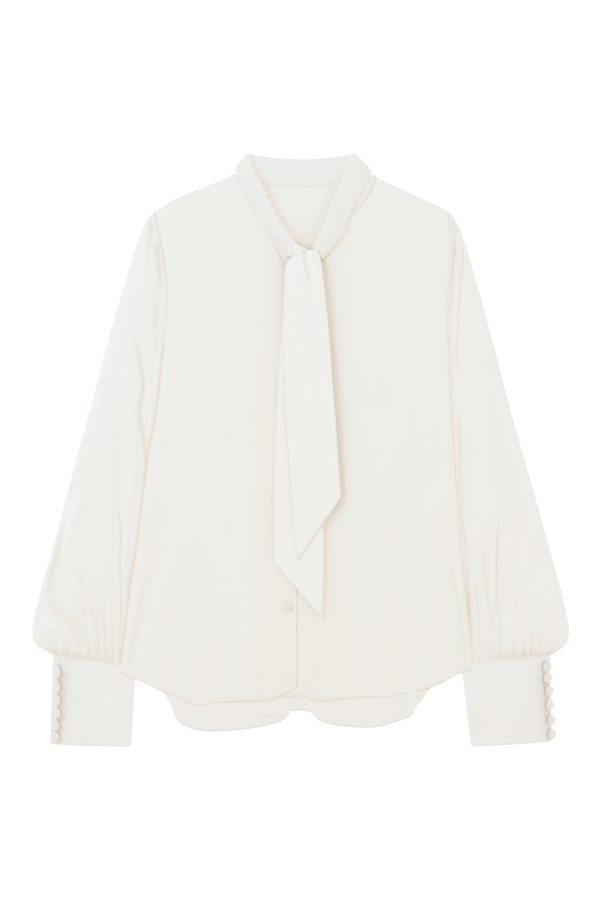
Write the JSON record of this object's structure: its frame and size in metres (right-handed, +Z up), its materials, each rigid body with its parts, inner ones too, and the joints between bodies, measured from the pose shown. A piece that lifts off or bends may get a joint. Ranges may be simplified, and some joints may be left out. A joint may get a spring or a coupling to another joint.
{
  "type": "tie neck blouse",
  "caption": "Long-sleeved crepe blouse laid flat, with a knotted scarf collar, gathered sleeves and deep cuffs closed by loops and covered buttons.",
  "frame": {"origin": "bottom centre of the laid garment's bounding box, on the surface that it lies on", "axes": "+Z up from the surface, +Y towards the collar, +X towards the wearer's left sleeve"},
  "size_m": [0.645, 0.7118, 0.0183],
  "materials": {
    "crepe": "off-white silk crepe with a soft sheen",
    "crepe_trim": "the same crepe, doubled and pressed",
    "covered_button": "domed buttons covered in the same crepe"
  },
  "bodies": {
    "root": {"back": "crepe", "front_right": "crepe", "front_left": "crepe", "sleeve_right": "crepe", "sleeve_left": "crepe", "cuff_right": "crepe_trim", "cuff_left": "crepe_trim", "collar_back": "crepe_trim", "collar_right": "crepe_trim", "collar_left": "crepe_trim", "neckband_right": "crepe_trim", "neckband_left": "crepe_trim", "tie_rear": "crepe_trim", "tie_front": "crepe_trim", "button_front_1": "covered_button", "button_front_2": "covered_button", "button_front_3": "covered_button", "button_front_4": "covered_button", "button_cuff_right_1": "covered_button", "button_cuff_right_2": "covered_button", "button_cuff_right_3": "covered_button", "button_cuff_right_4": "covered_button", "button_cuff_right_5": "covered_button", "button_cuff_right_6": "covered_button", "button_cuff_left_1": "covered_button", "button_cuff_left_2": "covered_button", "button_cuff_left_3": "covered_button", "button_cuff_left_4": "covered_button", "button_cuff_left_5": "covered_button", "button_cuff_left_6": "covered_button"}
  },
  "joints": []
}
